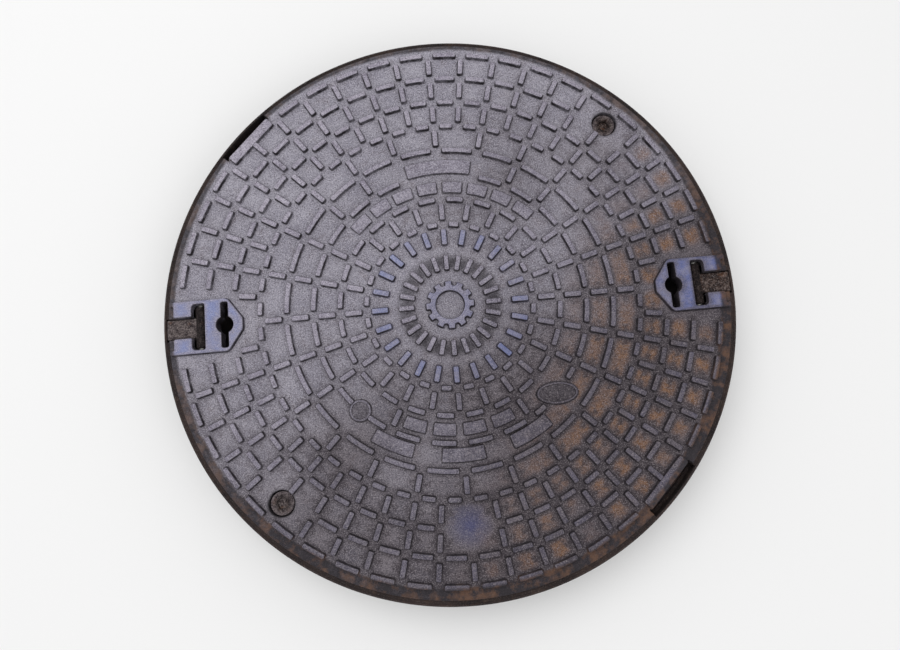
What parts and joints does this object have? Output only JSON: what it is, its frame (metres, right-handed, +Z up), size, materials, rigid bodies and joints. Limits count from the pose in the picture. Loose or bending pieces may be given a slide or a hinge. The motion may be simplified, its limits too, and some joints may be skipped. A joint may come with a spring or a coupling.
{
  "type": "manhole cover",
  "caption": "Round cast-iron manhole cover with raised tread ribs, hinge and lifting pockets, quarter-turn locks and a rubber rim seal.",
  "frame": {"origin": "centre of the cover in plan, at the height of the underside foot ring", "axes": "+Z up out of the road, +X through the right-hand pocket, +Y away from the viewer"},
  "size_m": [0.65, 0.65, 0.075],
  "materials": {
    "tread_iron": "weathered, dusty in the cells and polished on the rib tops",
    "seal_rubber": "dirty black rubber",
    "lug_iron": "rusty and dirt filled",
    "plated_steel": "dull zinc plate",
    "tray_coat": "black dip coat"
  },
  "bodies": {
    "cover": {"cover_casting": "tread_iron", "rim_seal": "seal_rubber", "hinge_pin_right": "plated_steel", "tray_gasket_right": "seal_rubber", "key_tray_right": "tray_coat", "tray_washer_right_1": "plated_steel", "tray_bolt_right_1": "plated_steel", "tray_washer_right_2": "plated_steel", "tray_bolt_right_2": "plated_steel", "tray_washer_right_3": "plated_steel", "tray_bolt_right_3": "plated_steel", "tray_washer_right_4": "plated_steel", "tray_bolt_right_4": "plated_steel", "hinge_pin_left": "plated_steel", "tray_gasket_left": "seal_rubber", "key_tray_left": "tray_coat", "tray_washer_left_1": "plated_steel", "tray_bolt_left_1": "plated_steel", "tray_washer_left_2": "plated_steel", "tray_bolt_left_2": "plated_steel", "tray_washer_left_3": "plated_steel", "tray_bolt_left_3": "plated_steel", "tray_washer_left_4": "plated_steel", "tray_bolt_left_4": "plated_steel", "lock_seal_back": "seal_rubber", "lock_seal_front": "seal_rubber"},
    "lug_right": {"hinge_lug_right": "lug_iron"},
    "lug_left": {"hinge_lug_left": "lug_iron"},
    "lock_back": {"lock_bolt_back": "lug_iron", "lock_cam_back": "lug_iron", "lock_washer_back": "plated_steel", "lock_nut_back": "plated_steel"},
    "lock_front": {"lock_bolt_front": "lug_iron", "lock_cam_front": "lug_iron", "lock_washer_front": "plated_steel", "lock_nut_front": "plated_steel"}
  },
  "joints": [
    {"name": "lug_right_hinge", "type": "hinge", "parent": "cover", "child": "lug_right", "pos_m": [0.2825, 0, 0.063], "axis": [0, -1, 0], "range_deg": [0, 100]},
    {"name": "lug_left_hinge", "type": "hinge", "parent": "cover", "child": "lug_left", "pos_m": [-0.2825, 0, 0.063], "axis": [0, 1, 0], "range_deg": [0, 100]},
    {"name": "lock_back_turn", "type": "hinge", "parent": "cover", "child": "lock_back", "pos_m": [0.20047, 0.20047, 0.06], "axis": [0, 0, -1], "range_deg": [0, 90]},
    {"name": "lock_front_turn", "type": "hinge", "parent": "cover", "child": "lock_front", "pos_m": [-0.20047, -0.20047, 0.06], "axis": [0, 0, -1], "range_deg": [0, 90]}
  ]
}
